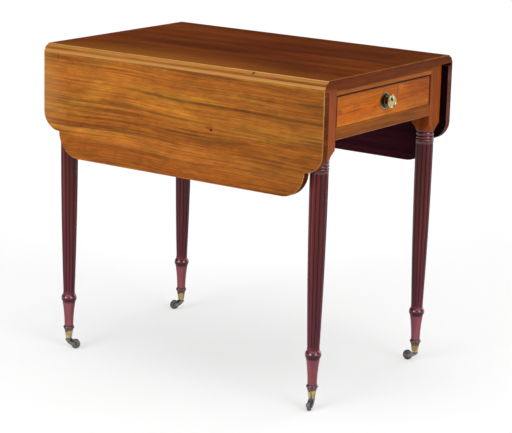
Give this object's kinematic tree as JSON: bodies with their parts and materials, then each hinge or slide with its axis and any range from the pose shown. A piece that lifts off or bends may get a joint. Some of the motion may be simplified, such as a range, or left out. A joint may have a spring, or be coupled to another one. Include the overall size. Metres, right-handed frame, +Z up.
{
  "type": "pembroke table",
  "caption": "Small drop-leaf pembroke table with shaped hanging leaves, an end drawer with a round knob, and slender reeded legs on swivel casters.",
  "frame": {"origin": "on the floor, under the middle of the fixed top", "axes": "+Z up, Y along the table with the drawer opening towards -Y, X across it towards the leaves"},
  "size_m": [0.518, 0.7572, 0.711],
  "materials": {
    "top_mahogany": "french polish, glossy",
    "leaf_mahogany": "french polish, satin",
    "leg_mahogany": "french polish, glossy",
    "frieze_mahogany": "french polish, satin",
    "frame_oak": "bare, planed",
    "fly_beech": "bare, planed",
    "hinge_iron": "dark wrought iron",
    "screw_steel": "aged steel",
    "knob_brass": "polished, aged",
    "cup_brass": "polished, aged",
    "horn_bronze": "dark patina",
    "wheel_iron": "dark, worn"
  },
  "bodies": {
    "frame": {"top_board": "top_mahogany", "top_hinge_flaps": "hinge_iron", "top_hinge_screws": "screw_steel", "leaf_hinge_pins": "hinge_iron", "leg_front_left": "leg_mahogany", "leg_front_right": "leg_mahogany", "leg_back_left": "leg_mahogany", "leg_back_right": "leg_mahogany", "caster_cup_front_left": "cup_brass", "caster_cup_front_right": "cup_brass", "caster_cup_back_left": "cup_brass", "caster_cup_back_right": "cup_brass", "caster_cup_screws": "screw_steel", "side_rail_left": "frame_oak", "side_rail_right": "frame_oak", "drawer_top_rail": "frieze_mahogany", "drawer_bottom_rail": "frieze_mahogany", "back_end_rail": "frieze_mahogany", "fly_block_left": "fly_beech", "fly_block_right": "fly_beech", "fly_pins": "hinge_iron", "fly_block_screws": "screw_steel", "drawer_runners": "frame_oak", "drawer_kickers": "frame_oak", "drawer_stops": "frame_oak", "glue_blocks": "frame_oak", "top_screws": "screw_steel"},
    "leaf_left": {"leaf_left": "leaf_mahogany", "leaf_hinge_flaps_left": "hinge_iron", "leaf_hinge_screws_left": "screw_steel"},
    "leaf_right": {"leaf_right": "leaf_mahogany", "leaf_hinge_flaps_right": "hinge_iron", "leaf_hinge_screws_right": "screw_steel"},
    "drawer": {"drawer_front": "frieze_mahogany", "drawer_side_left": "frame_oak", "drawer_side_right": "frame_oak", "drawer_back": "frame_oak", "drawer_bottom": "frame_oak", "knob": "knob_brass", "knob_backplate": "knob_brass", "knob_nut": "screw_steel"},
    "fly_bracket_left_front": {"fly_bracket_left_front": "fly_beech"},
    "fly_bracket_left_back": {"fly_bracket_left_back": "fly_beech"},
    "fly_bracket_right_front": {"fly_bracket_right_front": "fly_beech"},
    "fly_bracket_right_back": {"fly_bracket_right_back": "fly_beech"},
    "caster_swivel_front_left": {"caster_horn_front_left": "horn_bronze", "caster_axle_front_left": "hinge_iron"},
    "caster_wheel_front_left": {"caster_wheel_front_left": "wheel_iron"},
    "caster_swivel_front_right": {"caster_horn_front_right": "horn_bronze", "caster_axle_front_right": "hinge_iron"},
    "caster_wheel_front_right": {"caster_wheel_front_right": "wheel_iron"},
    "caster_swivel_back_left": {"caster_horn_back_left": "horn_bronze", "caster_axle_back_left": "hinge_iron"},
    "caster_wheel_back_left": {"caster_wheel_back_left": "wheel_iron"},
    "caster_swivel_back_right": {"caster_horn_back_right": "horn_bronze", "caster_axle_back_right": "hinge_iron"},
    "caster_wheel_back_right": {"caster_wheel_back_right": "wheel_iron"}
  },
  "joints": [
    {"name": "leaf_left_hinge", "type": "hinge", "parent": "frame", "child": "leaf_left", "pos_m": [-0.245, 0, 0.697], "axis": [0, 1, 0], "range_deg": [0, 90]},
    {"name": "leaf_right_hinge", "type": "hinge", "parent": "frame", "child": "leaf_right", "pos_m": [0.245, 0, 0.697], "axis": [0, -1, 0], "range_deg": [0, 90]},
    {"name": "drawer_slide", "type": "slide", "parent": "frame", "child": "drawer", "axis": [0, -1, 0], "range_m": [0, 0.42]},
    {"name": "fly_bracket_left_front_swing", "type": "hinge", "parent": "frame", "child": "fly_bracket_left_front", "pos_m": [-0.22, -0.084, 0.65], "axis": [0, 0, -1], "range_deg": [0, 3.5]},
    {"name": "fly_bracket_left_back_swing", "type": "hinge", "parent": "frame", "child": "fly_bracket_left_back", "pos_m": [-0.22, 0.084, 0.65], "axis": [0, 0, 1], "range_deg": [0, 3.5]},
    {"name": "fly_bracket_right_front_swing", "type": "hinge", "parent": "frame", "child": "fly_bracket_right_front", "pos_m": [0.22, -0.084, 0.65], "axis": [0, 0, 1], "range_deg": [0, 3.5]},
    {"name": "fly_bracket_right_back_swing", "type": "hinge", "parent": "frame", "child": "fly_bracket_right_back", "pos_m": [0.22, 0.084, 0.65], "axis": [0, 0, -1], "range_deg": [0, 3.5]},
    {"name": "caster_swivel_front_left", "type": "hinge", "parent": "frame", "child": "caster_swivel_front_left", "pos_m": [-0.2135, -0.3385, 0.02], "axis": [0, 0, 1], "continuous": true},
    {"name": "caster_wheel_front_left", "type": "hinge", "parent": "caster_swivel_front_left", "child": "caster_wheel_front_left", "pos_m": [-0.23135, -0.345, 0.01125], "axis": [0.342, -0.9397, 0], "continuous": true},
    {"name": "caster_swivel_front_right", "type": "hinge", "parent": "frame", "child": "caster_swivel_front_right", "pos_m": [0.2135, -0.3385, 0.02], "axis": [0, 0, 1], "continuous": true},
    {"name": "caster_wheel_front_right", "type": "hinge", "parent": "caster_swivel_front_right", "child": "caster_wheel_front_right", "pos_m": [0.21416, -0.31951, 0.01125], "axis": [-0.9994, 0.0349, 0], "continuous": true},
    {"name": "caster_swivel_back_left", "type": "hinge", "parent": "frame", "child": "caster_swivel_back_left", "pos_m": [-0.2135, 0.3385, 0.02], "axis": [0, 0, 1], "continuous": true},
    {"name": "caster_wheel_back_left", "type": "hinge", "parent": "caster_swivel_back_left", "child": "caster_wheel_back_left", "pos_m": [-0.21184, 0.31957, 0.01125], "axis": [0.9962, 0.0872, 0], "continuous": true},
    {"name": "caster_swivel_back_right", "type": "hinge", "parent": "frame", "child": "caster_swivel_back_right", "pos_m": [0.2135, 0.3385, 0.02], "axis": [0, 0, 1], "continuous": true},
    {"name": "caster_wheel_back_right", "type": "hinge", "parent": "caster_swivel_back_right", "child": "caster_wheel_back_right", "pos_m": [0.19565, 0.345, 0.01125], "axis": [-0.342, -0.9397, 0], "continuous": true}
  ]
}
